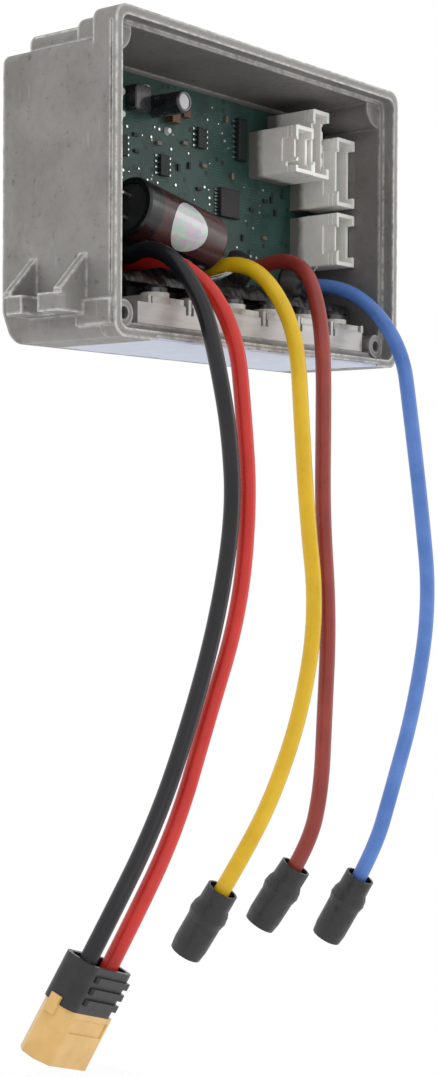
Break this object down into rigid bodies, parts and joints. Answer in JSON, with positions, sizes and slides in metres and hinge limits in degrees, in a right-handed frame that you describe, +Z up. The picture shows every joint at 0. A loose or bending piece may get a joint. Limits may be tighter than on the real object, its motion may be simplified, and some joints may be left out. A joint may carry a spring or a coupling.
{
  "type": "electronic speed controller",
  "caption": "Open cast metal box with mounting feet, a power board inside, and hanging silicone leads that end in a two-pole plug and sleeved bullet contacts.",
  "frame": {"origin": "centre of the box's underside, on the flat face that lies on the chassis", "axes": "+Z up through the box, -Y out of the box's opening, +X to the right when looking into the opening"},
  "size_m": [0.1358, 0.0454, 0.2076],
  "materials": {
    "housing_cast": "as cast, finely pitted",
    "pad_rubber": "soft, matt",
    "board": "lacquered",
    "chip_plastic": "moulded, matt",
    "tin": "tinned",
    "tantalum": "moulded",
    "ceramic_body": "fired",
    "can_aluminium": "satin",
    "brown_sleeve": "shrunk, glossy",
    "black_sleeve": "shrunk, glossy",
    "seal_rubber": "matt",
    "label_foil": "foil film",
    "glue": "set drops",
    "header_nylon": "moulded",
    "bar_aluminium": "sawn, matt",
    "pad_film": "film",
    "tab_metal": "tinned",
    "washer_insulator": "moulded",
    "screw_steel": "blackened",
    "lacquer": "poured, glossy",
    "silicone_black": "soft, satin",
    "silicone_red": "soft, satin",
    "silicone_yellow": "soft, satin",
    "silicone_brown": "soft, satin",
    "silicone_blue": "soft, satin",
    "plug_nylon": "moulded",
    "cap_nylon": "moulded",
    "contact_gold": "gold flash",
    "shrink_black": "shrunk, satin"
  },
  "bodies": {
    "root": {"bulk_capacitor_can": "can_aluminium", "bulk_capacitor_leads": "tin", "bulk_capacitor_seal": "seal_rubber", "bulk_capacitor_sleeve": "brown_sleeve", "capacitor_sticker": "label_foil", "clamp_screws": "screw_steel", "clamp_washers": "washer_insulator", "contact_blue": "contact_gold", "contact_brown": "contact_gold", "contact_yellow": "contact_gold", "driver_ic": "chip_plastic", "driver_ic_pins": "tin", "glue_blobs": "glue", "header_a": "header_nylon", "header_b": "header_nylon", "header_c": "header_nylon", "header_d": "header_nylon", "header_pins": "tin", "heatsink_bar": "bar_aluminium", "housing": "housing_cast", "inductor": "black_sleeve", "insulating_pads": "pad_film", "logic_ic_pins": "tin", "logic_ics": "chip_plastic", "main_pcb": "board", "mcu": "chip_plastic", "mcu_pins": "tin", "mosfet_bodies": "chip_plastic", "mosfet_leads": "tin", "mosfet_tabs": "tab_metal", "plug_cap": "cap_nylon", "plug_contacts": "contact_gold", "plug_housing": "plug_nylon", "potting": "lacquer", "sleeve_blue": "shrink_black", "sleeve_brown": "shrink_black", "sleeve_yellow": "shrink_black", "small_capacitor_can": "can_aluminium", "small_capacitor_sleeve": "black_sleeve", "smd_capacitors": "ceramic_body", "smd_resistors": "chip_plastic", "solder_dots": "tin", "tantalum_capacitors": "tantalum", "thermal_pad": "pad_rubber", "wire_black": "silicone_black", "wire_blue": "silicone_blue", "wire_brown": "silicone_brown", "wire_red": "silicone_red", "wire_solder_joints": "tin", "wire_yellow": "silicone_yellow"}
  },
  "joints": []
}
